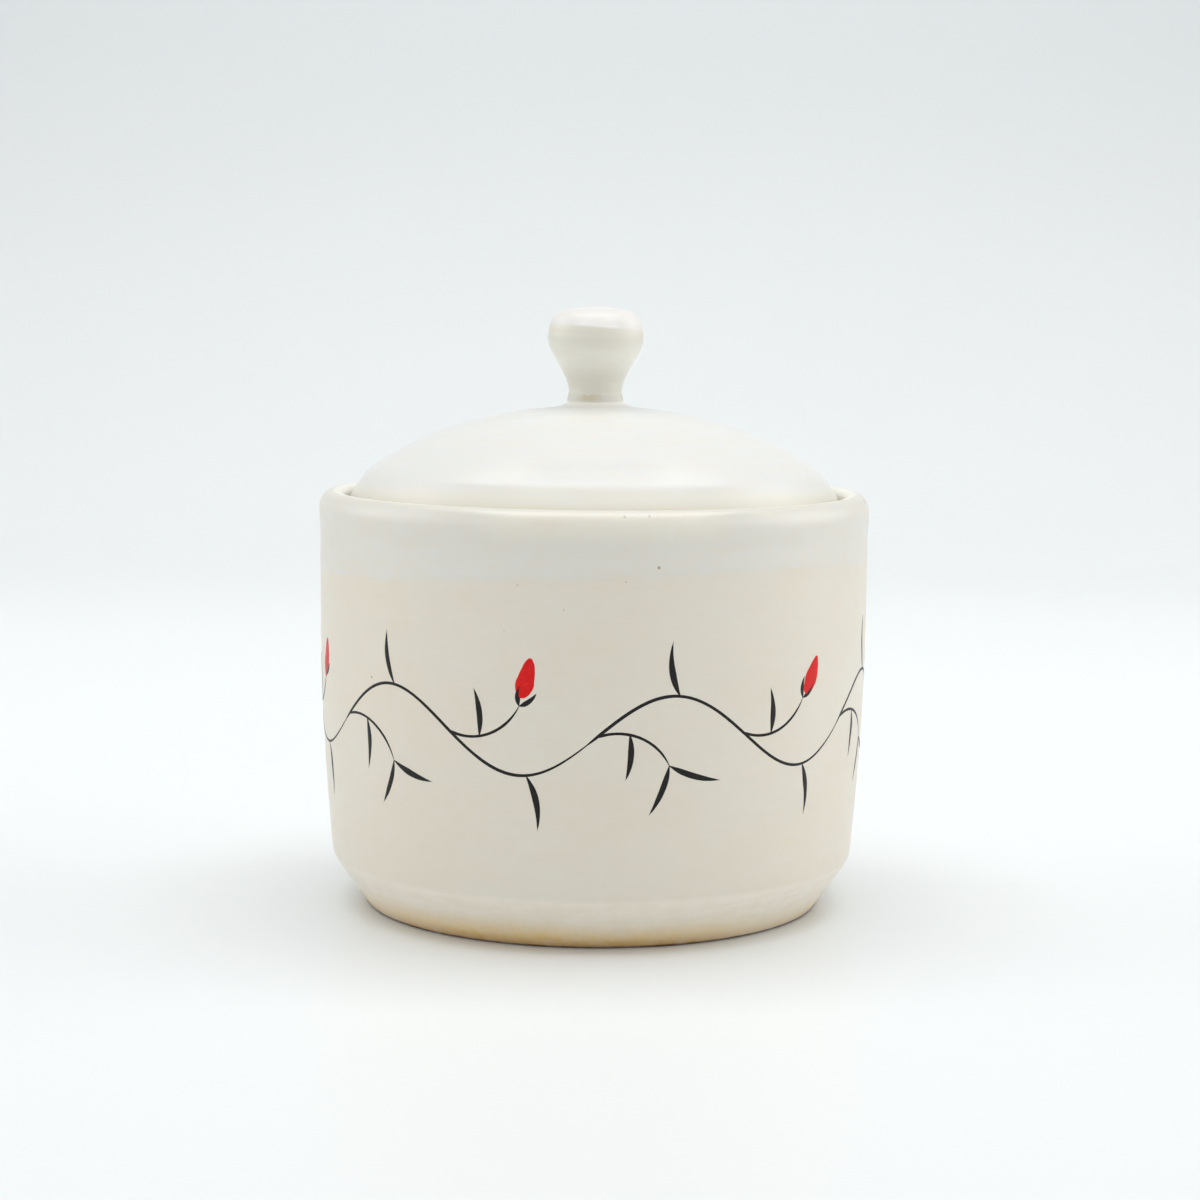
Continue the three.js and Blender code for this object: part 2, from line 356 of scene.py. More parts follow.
def turned(name, profile, segments, material, relief, stretch=None):
    """A closed piece turned about the jar's axis.

    relief(angle, radius, height) moves the surface outwards along its normal, and stretch(angle) is the
    share by which it stands further from the axis. Angles run from the front towards the right.
    """
    middle = profile[1:-1]
    along = np.gradient(profile, axis=0)[1:-1]
    along /= np.linalg.norm(along, axis=1)[:, None]
    angle = np.linspace(0, FULL_TURN, segments, endpoint=False)[:, None]
    moved = relief(angle, middle[:, 0], middle[:, 1])
    radius = middle[:, 0] + along[:, 1] * moved
    if stretch:
        radius = radius * (1 + stretch(angle))
    height = middle[:, 1] - along[:, 0] * moved
    points = np.stack([radius * np.sin(angle), -radius * np.cos(angle), height], axis=-1).reshape(-1, 3)
    rows = len(middle)
    first = len(points)
    ends = [(0, 0, profile[0, 1]), (0, 0, profile[-1, 1])]
    faces = []
    for step in range(segments):
        here = step * rows
        there = (step + 1) % segments * rows
        faces.append((first, there, here))
        faces.extend((here + i, there + i, there + i + 1, here + i + 1) for i in range(rows - 1))
        faces.append((here + rows - 1, there + rows - 1, first + 1))
    return new_piece(name, np.vstack([points, ends]), faces, material)


def out_of_round(sizes, radius, angle):
    """Share by which a fired piece of this radius stands out at an angle."""
    return sizes.ovality / radius * np.cos(2 * (angle - sizes.oval_turn))


# The thrown body

RING_BEAT = 4.3  # throwing rings from one strong ring to the next
RING_MEAN = 0.6  # share of the rings' full depth that they have on average
ROLL_FOOT = 0.35 * MM  # half the width of the step at the dip's edge
ROLL_FADE = 4 * MM  # height above that edge where the roll has thinned out
ROLL_LOSS = 0.85  # share of the roll's thickness that is gone there


def widest(sizes):
    """Radius of the wall where it is widest, below the bead."""
    return BODY_HIGH.x - sizes.bead_flare


def inner_radius(sizes):
    """Inside of the wall where it stands upright."""
    return widest(sizes) - sizes.wall_thickness


def foot_radius(sizes):
    """Outer edge of the standing ring."""
    return widest(sizes) - sizes.wall_taper - sizes.bevel_width


def floor_top(sizes):
    return sizes.foot_recess + sizes.floor_thickness


def ledge_foot(sizes):
    """Height where the lid's ledge runs out into the wall."""
    return LID_LOW.z - sizes.gallery_edge - sizes.gallery_haunch


def bead_foot(sizes):
    return BODY_HIGH.z - sizes.lip_round - sizes.bead_height


def wall_radius(sizes, height):
    """Outside of the wall: it comes out from the bevel along a parabola and then stands upright."""
    belly = bead_foot(sizes) - sizes.upright_height
    below = np.maximum(0, (belly - height) / (belly - sizes.bevel_height))
    return widest(sizes) - sizes.wall_taper * below**2


def dip_edge(sizes, angle):
    """Height of the second glaze's edge at an angle from the front."""
    tilt = sizes.dip_tilt * np.cos(angle - sizes.dip_turn)
    sway = sizes.dip_sway * np.cos(2 * (angle - sizes.sway_turn))
    return sizes.dip_height + tilt + sway


def outer_relief(sizes, angle, height):
    """Throwing rings, and the roll of thicker glaze along the dip's edge."""
    rings = sizes.ring_depth * np.sin(FULL_TURN * height / sizes.ring_pitch + angle)
    beat = np.sin(FULL_TURN * height / (RING_BEAT * sizes.ring_pitch) - angle)
    above = height - dip_edge(sizes, angle)
    roll = ramp(above, -ROLL_FOOT, ROLL_FOOT) * (1 - ROLL_LOSS * ramp(above, ROLL_FOOT, ROLL_FADE))
    return rings * (RING_MEAN + (1 - RING_MEAN) * beat) + sizes.dip_thickness * roll


def body_relief(sizes, angle, radius, height):
    """Everything that the potter's hands leave on the body, inside, outside and underneath."""
    skin = inner_radius(sizes)
    inside = ramp(radius, skin + FADE, skin + NEAR) * (height > floor_top(sizes) - NEAR)
    underside = (height < sizes.foot_recess + NEAR) * (radius < skin - sizes.bevel_width)
    upright = ramp(height, 2 * FADE, sizes.bevel_height) * (1 - inside)
    grooves = sizes.groove_depth * np.sin(FULL_TURN * (height + radius) / sizes.groove_pitch + angle)
    lathe = sizes.lathe_depth / 2 * (np.sin(FULL_TURN * radius / sizes.lathe_pitch + angle) - 1)
    below_ledge = 1 - ramp(height, ledge_foot(sizes) - 2 * FADE, ledge_foot(sizes) + FADE)
    off_middle = ramp(radius, 0, sizes.groove_pitch)
    return (
        outer_relief(sizes, angle, height) * upright
        + grooves * inside * below_ledge * off_middle
        + lathe * underside * off_middle
    )


def body_profile(sizes):
    """The body, from the middle of its underside round over the lip to the middle of its floor."""
    foot = foot_radius(sizes)
    recess = foot - sizes.foot_width
    gallery = inner_radius(sizes)
    mouth = gallery - sizes.gallery_width
    half_lip = (BODY_HIGH.x - gallery) / 2
    lip_foot = BODY_HIGH.z - sizes.lip_round
    cove = floor_top(sizes) + sizes.inner_cove
    wall_heights = evenly(sizes.bevel_height, bead_foot(sizes), LONG_CURVE)
    bead_middle = (bead_foot(sizes) + lip_foot) / 2
    inner_heights = evenly(ledge_foot(sizes), cove, LONG_CURVE)
    cove_centre = (wall_radius(sizes, cove) - sizes.wall_thickness - sizes.inner_cove, cove)
    bevel_middle = (foot + sizes.bevel_width / 2, sizes.bevel_height / 2)
    underside = np.array(
        [
            (0, sizes.foot_recess),
            (recess - sizes.foot_slope, sizes.foot_recess),
            (recess, 0),
            (foot, 0),
            bevel_middle,
        ]
    )
    outside = np.vstack(
        [
            np.column_stack([wall_radius(sizes, wall_heights), wall_heights]),
            bezier(
                (widest(sizes), bead_foot(sizes)),
                (widest(sizes), bead_middle),
                (BODY_HIGH.x, bead_middle),
                (BODY_HIGH.x, lip_foot),
            ),
            arc((gallery + half_lip, lip_foot), half_lip, sizes.lip_round, 0, 90),
            arc((gallery + half_lip, BODY_HIGH.z - sizes.lip_fall), half_lip, sizes.lip_fall, 90, 180)[1:],
        ]
    )
    ledge = [(gallery, LID_LOW.z), (mouth, LID_LOW.z), (mouth, LID_LOW.z - sizes.gallery_edge)]
    inside = np.vstack(
        [
            np.column_stack([wall_radius(sizes, inner_heights) - sizes.wall_thickness, inner_heights]),
            arc(cove_centre, sizes.inner_cove, sizes.inner_cove, 0, -90),
            [(0, floor_top(sizes))],
        ]
    )
    upper = softened(np.vstack([[bevel_middle], outside, ledge, inside]), sizes.softness)
    whole = np.vstack([softened(underside, sizes.foot_softness), upper[1:]])
    over_lip = np.argmin(np.abs(whole[:, 1] - LID_LOW.z) + np.abs(whole[:, 0] - gallery))
    outer = resampled(whole[: over_lip + 1], FINE_STEP)
    inner = resampled(whole[over_lip:], COARSE_STEP)
    return np.vstack([outer, inner[1:]])


# The lid, the slip and the knob

DOME_FADE = 5 * MM  # width over which the dome's rings set in, out from the knob's seat
SLIP_LUMP = 0.02 * MM  # how far a lump of slip stands out
# Lumps in a turn, where they start, and their share of that
SLIP_LUMPS = ((7, 0.4, 0.5), (13, 2, 0.3), (29, 0, 0.2))
KNOB_CORE = 4 * MM  # radius inside which the knob has no trimming lines
KNOB_CAP = 3 * MM  # depth below the knob's top where those lines start to fade out


def lid_profile(sizes):
    """The lid, from the middle of its hollow round under its seat and over the dome to the knob's seat."""
    edge = LID_HIGH.x
    seat = LID_LOW.z
    band = edge - sizes.band_width
    top = LID_HIGH.z - sizes.boss_rise
    half_width = band + sizes.dome_overrun
    half_height = (top - band_top(sizes)) / (1 - math.sqrt(1 - (band / half_width) ** 2))

    def dome(radius):
        return np.stack([radius, top - half_height * (1 - np.sqrt(1 - (radius / half_width) ** 2))], axis=-1)

    boss = sizes.knob_foot
    fillet = boss + sizes.boss_fillet
    hollow = edge - sizes.seat_width
    points = np.vstack(
        [
            arc((0, seat), hollow, top - sizes.thickness - seat, 90, 0),
            [
                (edge - sizes.edge_break, seat),
                (edge, seat + sizes.edge_break),
                (edge, seat + sizes.edge_height),
            ],
            dome(evenly(band, fillet, DOME_CURVE)),
            bezier(dome(fillet), dome(boss), (boss, LID_HIGH.z)),
            [(0, LID_HIGH.z)],
        ]
    )
    return resampled(softened(points, sizes.softness), FINE_STEP)


def band_top(sizes):
    """Height where the lid's steep band ends and its dome starts."""
    return LID_LOW.z + sizes.edge_height + sizes.band_height


def lid_relief(sizes, angle, radius, height):
    """Trimming rings on the dome, which fade towards the knob and the edge."""
    rings = sizes.ring_depth * np.sin(FULL_TURN * radius / sizes.ring_pitch + angle)
    fillet = sizes.knob_foot + sizes.boss_fillet
    band = LID_HIGH.x - sizes.band_width
    return rings * ramp(radius, fillet, fillet + DOME_FADE) * (1 - ramp(radius, band - FADE, band))


def slip_profile(sizes):
    """The slip in the luted joint, wiped smooth between the lid and the knob."""
    low = SLIP_LOW.z - sizes.slip_below
    high = SLIP_HIGH.z + sizes.slip_above
    outside = bezier((sizes.slip_reach, low), (sizes.slip_belly, SLIP_HIGH.z), (sizes.slip_top, high))
    return resampled(np.vstack([[(0, low)], outside, [(0, high)]]), SLIP_STEP)


def slip_relief(sizes, angle, radius, height):
    """Small lumps where the slip was wiped round with a brush."""
    lumps = sum(part * np.sin(count * angle + start) for count, start, part in SLIP_LUMPS)
    return SLIP_LUMP * lumps * ramp(radius, sizes.slip_top - NEAR, sizes.slip_top)


def knob_profile(sizes):
    """The knob: a narrow neck that flares to a rounded head with a low cap."""
    foot = KNOB_LOW.z
    neck = foot + sizes.neck_height
    head = neck + sizes.flare_height
    hold = sizes.flare_height * sizes.flare_hold
    rim = KNOB_HIGH.x - sizes.rim_inset
    crease = head + sizes.rim_height
    points = np.vstack(
        [
            [(0, foot), (sizes.knob_foot, foot)],
            bezier(
                (sizes.knob_neck, neck),
                (sizes.knob_neck, neck + hold),
                (KNOB_HIGH.x, head - hold),
                (KNOB_HIGH.x, head),
            ),
            bezier(
                (rim, crease),
                (rim - sizes.cap_lean, crease + sizes.cap_shoulder),
                (rim * sizes.cap_fullness, KNOB_HIGH.z),
                (0, KNOB_HIGH.z),
            ),
        ]
    )
    return resampled(softened(points, sizes.knob_softness), KNOB_STEP)


def knob_relief(sizes, angle, radius, height):
    """Fine trimming lines on the knob's flare."""
    lines = sizes.knob_line_depth * np.sin(FULL_TURN * height / sizes.knob_line_pitch + angle)
    cap = KNOB_HIGH.z - KNOB_CAP
    return lines * ramp(radius, KNOB_CORE, KNOB_CORE + FADE) * (1 - ramp(height, cap, cap + FADE))


# Brushwork: lines on the unrolled wall as rows of (distance round from the front, height)

BRUSH_SEED = 11
STROKE_STEPS = 40
STROKE_ACROSS = np.array([-1, -0.86, -0.45, 0, 0.45, 0.86, 1])  # places across a stroke
STROKE_LOAD = np.array([0, 0.62, 0.95, 1, 0.95, 0.62, 0])  # thickness of the paint at those places
HEADING_SLIP = 4  # degrees by which the hand may start a line wrong
LENGTH_SLIP = 0.07  # share by which it may make a line too long or too short
WIDTH_SLIP = 0.07  # share by which a line's width wanders
WANDER_SPAN = 7  # steps over which that wandering is smoothed


class Brush:
    """Collects brush strokes on the wall into one mesh."""

    def __init__(self, sizes, body, seed):
        self.sizes = sizes
        self.body = body
        self.random = np.random.default_rng(seed)
        self.points = []
        self.faces = []

    def sweep(self, start, heading, length, bend):
        """A line that leaves start in a heading and turns by bend along its length, both in degrees."""
        heading += self.random.uniform(-HEADING_SLIP, HEADING_SLIP)
        length *= self.random.uniform(1 - LENGTH_SLIP, 1 + LENGTH_SLIP)
        done = np.linspace(0, 1, STROKE_STEPS)
        direction = np.radians(heading + bend * done)
        moves = np.column_stack([np.cos(direction), np.sin(direction)]) * length / (STROKE_STEPS - 1)
        steps = (moves[:-1] + moves[1:]) / 2
        return np.array(start) + np.vstack([[(0, 0)], np.cumsum(steps, axis=0)])

    def stroke(self, line, half_widths):
        """One closed, slightly raised stroke along a line, with its edges sunk into the glaze."""
        along = np.gradient(line, axis=0)
        along /= np.linalg.norm(along, axis=1)[:, None]
        across = np.column_stack([-along[:, 1], along[:, 0]])
        count = len(line)
        wander = np.cumsum(self.random.normal(0, 1, count))
        padded = np.pad(wander - wander.mean(), WANDER_SPAN // 2, mode="edge")
        smooth = np.convolve(padded, np.ones(WANDER_SPAN) / WANDER_SPAN, mode="valid")
        widths = half_widths * (1 + WIDTH_SLIP * np.tanh(smooth / 2))
        flat = line[:, None, :] + across[:, None, :] * (widths[:, None] * STROKE_ACROSS)[:, :, None]
        lift = STROKE_LOAD * (self.sizes.paint_lift + self.sizes.paint_root) - self.sizes.paint_root
        base = len(self.points)
        self.points.extend(self.on_wall(flat.reshape(-1, 2), np.tile(lift, count)))
        sides = len(STROKE_ACROSS)
        for step in range(count - 1):
            here = base + step * sides
            there = here + sides
            for side in range(sides):
                after = (side + 1) % sides
                self.faces.append((there + side, there + after, here + after, here + side))
        last = base + (count - 1) * sides
        self.faces.append(tuple(range(base, base + sides)))
        self.faces.append(tuple(range(last, last + sides))[::-1])

    def on_wall(self, flat, lift):
        """Points of the unrolled wall laid round the jar, lifted off its glaze."""
        angle = flat[:, 0] / widest(self.body)
        height = flat[:, 1]
        radius = wall_radius(self.body, height) + outer_relief(self.body, angle, height)
        radius = radius * (1 + out_of_round(self.body, widest(self.body), angle)) + lift
        return np.column_stack([radius * np.sin(angle), -radius * np.cos(angle), height])

    def piece(self, name, material):
        return new_piece(name, self.points, self.faces, material)


def line_width(width, count=STROKE_STEPS):
    """Half widths of a fine line that starts firm and thins out at its end."""
    done = np.linspace(0, 1, count)
    starting = np.minimum(1, done / 0.05 + 0.15) ** 0.5
    thinning = np.minimum(1, (1 - done) / 0.3 + 0.08) ** 0.6
    return width / 2 * starting * thinning


def leaf_width(width):
    """Half widths of a leaf that is pressed wide in its middle and lifted off to a point."""
    done = np.linspace(0, 1, STROKE_STEPS)
    pressed = 0.1 + 0.9 * np.sin(math.pi * done**0.8) ** 1.1
    lifted = np.minimum(1, (1 - done) / 0.1 + 0.1)
    return width / 2 * pressed * lifted


def bud_width(width):
    """Half widths of a round-footed bud with a point."""
    done = np.linspace(0, 1, STROKE_STEPS)
    swelling = 1.6 * np.sqrt(done) * (1.02 - done) ** 0.75 + 0.02
    return width / 2 * np.minimum(1, swelling)


def wave_point(sizes, body, wave, done):
    """A point of the vine's stem, done from 0 to 1 along one of its waves."""
    length = FULL_TURN * widest(body) / sizes.repeats
    around = widest(body) * sizes.start + (wave + done) * length
    return np.stack([around, sizes.centre + sizes.rise * np.sin(FULL_TURN * done)], axis=-1)


STEM_LAP = 0.03  # share of a wave by which its stem starts inside the wave before
CREST = 0.27  # share of a wave where its upper leaf grows
TROUGH = 0.77  # share of a wave where its lower leaf grows
BRANCH_HEADING = 20  # degrees
BRANCH_WIDTH = 0.9  # next to the stem's width
LEAF_ON_BRANCH = 15  # steps along a branch to its leaf
SEPAL_SPREAD = 48  # degrees from the bud to each sepal
SEPAL_BEND = 45  # degrees by which a sepal turns back to the bud
SEPAL_WIDTH = 0.8  # next to a leaf's width
BUD_BEND = 12  # degrees


def bud_branch(brush, wave):
    """The line from the falling stem up to a bud."""
    sizes = brush.sizes
    bend = math.degrees(sizes.branch_bend)
    return brush.sweep(wave_point(sizes, brush.body, wave, 0.5), -BRANCH_HEADING, sizes.branch_length, bend)


def bud_heading(branch):
    """Heading of a branch's end in degrees."""
    across, up = branch[-1] - branch[-2]
    return math.degrees(math.atan2(up, across))


def paint_wave(brush, wave):
    """The black lines of one wave: stem, leaves, a branch with sepals and a drooping spray."""
    sizes = brush.sizes
    stem = wave_point(sizes, brush.body, wave, np.linspace(-STEM_LAP, 1, 2 * STROKE_STEPS))
    branch = bud_branch(brush, wave)
    tip = bud_heading(branch)
    bend = math.degrees(sizes.branch_bend)
    crest = wave_point(sizes, brush.body, wave, CREST)
    trough = wave_point(sizes, brush.body, wave, TROUGH)
    spray = brush.sweep(wave_point(sizes, brush.body, wave, 0), BRANCH_HEADING, sizes.branch_length, -bend)
    brush.stroke(stem, line_width(sizes.stem_width, 2 * STROKE_STEPS))
    brush.stroke(branch, line_width(sizes.stem_width * BRANCH_WIDTH))
    brush.stroke(spray, line_width(sizes.stem_width * BRANCH_WIDTH))
    # Where each leaf starts, its heading in degrees, its share of a leaf's length, and how far it turns
    leaf_lines = (
        (crest, 118, 1.05, -40),
        (trough, -62, 1.05, -40),
        (branch[LEAF_ON_BRANCH], 78, 0.9, 32),
        (spray[LEAF_ON_BRANCH], -78, 0.9, -32),
        (spray[-1], -32, 1.0, 26),
        (spray[-1], -98, 0.95, -26),
    )
    for start, heading, length, turning in leaf_lines:
        leaf = brush.sweep(start, heading, sizes.leaf_length * length, turning)
        brush.stroke(leaf, leaf_width(sizes.leaf_width))
    for side in (1, -1):
        sepal = brush.sweep(branch[-1], tip + side * SEPAL_SPREAD, sizes.sepal_length, -side * SEPAL_BEND)
        brush.stroke(sepal, leaf_width(sizes.leaf_width * SEPAL_WIDTH))


# Finishes


class Finish:
    """A material whose look is mixed from patterns that stay fixed to the piece."""

    def __init__(self, name, specular=0.5):
        self.material = bpy.data.materials.new(name)
        self.material.use_nodes = True
        self.tree = self.material.node_tree
        self.shader = self.tree.nodes["Principled BSDF"]
        self.shader.inputs["Specular IOR Level"].default_value = specular
        self.place = self.add("ShaderNodeTexCoord").outputs["Object"]
        split = self.add("ShaderNodeSeparateXYZ", {0: self.place})
        across, back, self.height = split.outputs
        self.radius = self.distance(across, back)
        self.angle = self.reckon("ARCTAN2", across, self.times(back, -1))
        self.bumps = None

    def add(self, kind, inputs=(), **settings):
        """A new node with these settings, and with these sockets set or joined up."""
        node = self.tree.nodes.new(kind)
        for setting, value in settings.items():
            setattr(node, setting, value)
        for socket, value in dict(inputs).items():
            self.feed(node.inputs[socket], value)
        return node

    def feed(self, socket, value):
        if isinstance(value, bpy.types.NodeSocket):
            self.tree.links.new(value, socket)
        elif socket.type == "RGBA":
            socket.default_value = (*value[:3], 1)
        else:
            socket.default_value = value

    def reckon(self, operation, first, second=0):
        return self.add("ShaderNodeMath", {0: first, 1: second}, operation=operation).outputs[0]

    def plus(self, first, second):
        return self.reckon("ADD", first, second)

    def minus(self, first, second):
        return self.reckon("SUBTRACT", first, second)

    def times(self, first, second):
        return self.reckon("MULTIPLY", first, second)

    def most(self, first, second):
        return self.reckon("MAXIMUM", first, second)

    def apart(self, first, second):
        """How far two values are apart, whichever is the larger one."""
        return self.reckon("ABSOLUTE", self.minus(first, second))

    def distance(self, across, up):
        """Length of the straight way to a point that is so far across and so far up."""
        return self.reckon("SQRT", self.plus(self.times(across, across), self.times(up, up)))

    def step(self, value, start, end, low=0, high=1):
        """low before start and high after end, with a smooth step between them."""
        sockets = {"Value": value, "From Min": start, "From Max": end, "To Min": low, "To Max": high}
        return self.add("ShaderNodeMapRange", sockets, interpolation_type="SMOOTHSTEP").outputs[0]

    def within(self, value, start, full, fading, end):
        """1 from full to fading, and 0 before start and after end."""
        return self.times(self.step(value, start, full), self.step(value, end, fading))

    def cloud(self, grain, detail=3, stretch=(1, 1, 1), roughness=0.55):
        """Soft noise with patches about a grain across, in metres, stretched along the axes."""
        scaled = self.add("ShaderNodeMapping", {"Vector": self.place, "Scale": stretch})
        sockets = {"Vector": scaled.outputs[0], "Scale": 1 / grain, "Detail": detail, "Roughness": roughness}
        return self.add("ShaderNodeTexNoise", sockets).outputs[0]

    def specks(self, spacing, chance, biggest):
        """Sparse round dots: one cell in each spacing, a dot in a share of the cells."""
        cells = self.add("ShaderNodeTexVoronoi", {"Vector": self.place, "Scale": 1 / spacing})
        luck = self.add("ShaderNodeSeparateColor", {0: cells.outputs["Color"]})
        chosen = self.reckon("LESS_THAN", luck.outputs[0], chance)
        reach = self.times(luck.outputs[1], biggest / spacing)
        inner = self.times(reach, 0.5)
        sockets = {"Value": cells.outputs["Distance"], "From Min": reach, "From Max": inner}
        dot = self.add("ShaderNodeMapRange", sockets)
        return self.times(dot.outputs[0], chosen)

    def spot(self, angle, height, reach):
        """A round dot with a soft edge, at an angle from the front in degrees, a height and a reach in mm."""
        around = self.times(self.minus(self.angle, math.radians(angle)), self.radius)
        up = self.minus(self.height, height * MM)
        return self.step(self.distance(around, up), reach * MM, 0.4 * reach * MM)

    def facing(self, degrees=0):
        """How far the surface faces a direction, round from the front: 1 towards it and -1 away from it."""
        return self.reckon("COSINE", self.minus(self.angle, math.radians(degrees)))

    def mix(self, share_of_second, first, second):
        node = self.add("ShaderNodeMix", {0: share_of_second, 6: first, 7: second}, data_type="RGBA")
        return node.outputs[2]

    def blend(self, share_of_second, first, second):
        node = self.add("ShaderNodeMix", {0: share_of_second, 2: first, 3: second}, data_type="FLOAT")
        return node.outputs[0]

    def bump(self, height, strength, depth):
        """Raises the surface by a pattern, on top of the bumps that it already has."""
        sockets = {"Height": height, "Strength": strength, "Distance": depth}
        if self.bumps is not None:
            sockets["Normal"] = self.bumps
        self.bumps = self.add("ShaderNodeBump", sockets).outputs[0]
        self.feed(self.shader.inputs["Normal"], self.bumps)

    def finish(self, base, roughness):
        self.feed(self.shader.inputs["Base Color"], base)
        self.feed(self.shader.inputs["Roughness"], roughness)
        return self.material


MOTTLE_GRAIN = 3 * MM  # cloudiness of a glaze
STREAK_GRAIN = 9 * MM  # runs of a glaze round the piece, a tenth as tall as wide
DUST_GRAIN = 0.9 * MM  # dry clay
SKIN_GRAIN = 0.38 * MM  # orange peel of a satin glaze
PINHOLES = (3.2 * MM, 0.16, 0.16 * MM)  # spacing, share of the places with one, and largest reach
IRON_SPECKS = (7.5 * MM, 0.2, 0.24 * MM)
SATIN = (0.31, 0.4)  # roughness of a glaze, from its smoothest to its dullest places
DRY = 0.82  # roughness of bare clay


def glaze_surface(finish, base, colours, bare, mottling, matt=0):
    """What all glazes share: streaks, mottling, pinholes, iron specks, and dry clay where it is wiped off."""
    mottle = finish.cloud(MOTTLE_GRAIN, detail=5, roughness=0.65)
    streaks = finish.cloud(STREAK_GRAIN, detail=4, stretch=(1, 1, 10))
    dust = finish.cloud(DUST_GRAIN, detail=4)
    skin = finish.cloud(SKIN_GRAIN, detail=2)
    mottled = finish.step(mottle, 0.35, 0.7, 0, mottling)
    streaked = finish.step(streaks, 0.4, 0.65, 0, 0.16)
    shaded = finish.mix(finish.plus(mottled, streaked), base, colours.wall_warm)
    iron = finish.times(finish.specks(*IRON_SPECKS), 0.7)
    spotted = finish.mix(iron, shaded, colours.iron)
    dusty = finish.mix(finish.step(dust, 0.3, 0.75, 0, 0.5), colours.clay, colours.lid_warm)
    whole = finish.mix(bare, spotted, dusty)
    finish.bump(skin, 0.18, 0.06 * MM)
    finish.bump(finish.minus(1, finish.specks(*PINHOLES)), 0.5, 0.06 * MM)
    finish.bump(mottle, 0.15, 0.15 * MM)
    finish.bump(streaks, 0.2, 0.1 * MM)
    satin = finish.step(mottle, 0.3, 0.75, *SATIN)
    return finish.finish(whole, finish.blend(finish.most(bare, matt), satin, DRY))


# Marks of the firing on the jar: angle from the front in degrees, height and reach in millimetres, darkness
FIRING_MARKS = (
    (12.6, 63.0, 0.34, 0.75),
    (6.3, 60.8, 0.2, 0.5),
    (-14.5, 60.0, 0.26, 0.25),
    (-5.5, 56.3, 0.26, 0.25),
    (6.0, 71.0, 0.32, 0.3),
    (10.8, 71.1, 0.28, 0.3),
    (80.0, 71.0, 0.6, 0.6),
)
THIN_GRAIN = 24 * MM  # broad places where the first glaze lies thin
DIP_GRAIN = 5 * MM  # ragged edge of the second glaze
DIP_RAGGED = 0.3 * MM  # how far that edge strays
TOAST_GRAIN = 1.1 * MM  # ragged edge of the toasted clay
TOAST_STRAY = 0.4 * MM  # how far that edge strays from place to place
TOAST_RAGGED = 0.5 * MM  # how far it strays from grain to grain
TOAST_TURN = -9  # degrees round from the front to where the kiln toasted the foot most


def dip_cover(finish, sizes):
    """How far the second glaze covers the first, with a slightly ragged edge."""
    tilt = finish.times(finish.reckon("COSINE", finish.minus(finish.angle, sizes.dip_turn)), sizes.dip_tilt)
    twice_round = finish.times(finish.minus(finish.angle, sizes.sway_turn), 2)
    sway = finish.times(finish.reckon("COSINE", twice_round), sizes.dip_sway)
    edge = finish.plus(finish.plus(tilt, sway), sizes.dip_height)
    ragged = finish.step(finish.cloud(DIP_GRAIN, detail=2), 0.25, 0.75, -DIP_RAGGED, DIP_RAGGED)
    above = finish.minus(finish.minus(finish.height, edge), ragged)
    return finish.step(above, -ROLL_FOOT, ROLL_FOOT)


def two_glazes(finish, colours, sizes, thin):
    """First glaze on the wall, and the second one round the top, thin over the lip, with painted light on the
    lip's front, the band below it and the gallery.
    """
    top = BODY_HIGH.z
    wall = finish.mix(finish.step(thin, 0.35, 0.65, 0, 0.35), colours.wall, colours.wall_warm)
    # Painted light: the lip and the band below it are lighter where they face the front, and the lip's sides
    # keep the darker lip colour.
    front = finish.step(finish.facing(2), 0.88, 0.96)
    below_lip = finish.step(finish.height, top - 6 * MM, top - 3 * MM)
    second = finish.mix(finish.times(front, below_lip), colours.dip, colours.lip_front_painted_light)
    lip_side = finish.step(finish.height, top - 2.2 * MM, top - 0.6 * MM)
    lip_crest = finish.step(finish.height, top - 0.8 * MM, top - 0.2 * MM)
    over_lip = finish.most(lip_crest, finish.times(finish.minus(1, front), lip_side))
    # Painted light: the inside of the lip and the gallery take the paler pool colour, so the gap round the
    # lid looks less shaded.
    crest = BODY_HIGH.x - (sizes.bead_flare + sizes.wall_thickness) / 2
    inner = finish.step(finish.radius, crest + 0.2 * MM, crest - 0.6 * MM)
    above_seat = finish.step(finish.height, LID_LOW.z - 0.4 * MM, LID_LOW.z)
    gallery_painted_light = finish.times(inner, above_seat)
    lipped = finish.mix(gallery_painted_light, finish.mix(over_lip, second, colours.lip), colours.pool)
    return finish.mix(dip_cover(finish, sizes), wall, lipped)


def bare_places(finish, sizes):
    """Where the jar's clay is wiped bare: under the foot and on the ledge that carries the lid."""
    foot = foot_radius(sizes)
    under = finish.times(
        finish.step(finish.radius, foot - 1.2 * MM, foot - 2 * MM),
        finish.step(finish.height, 2.6 * MM, 2.2 * MM),
    )
    seat = LID_LOW.z
    ledge = finish.times(
        finish.step(finish.radius, LID_HIGH.x + 0.1 * MM, LID_HIGH.x - 0.5 * MM),
        finish.within(finish.height, seat - 1.3 * MM, seat - 0.8 * MM, seat + 0.6 * MM, seat + 1.2 * MM),
    )
    return finish.most(under, ledge)


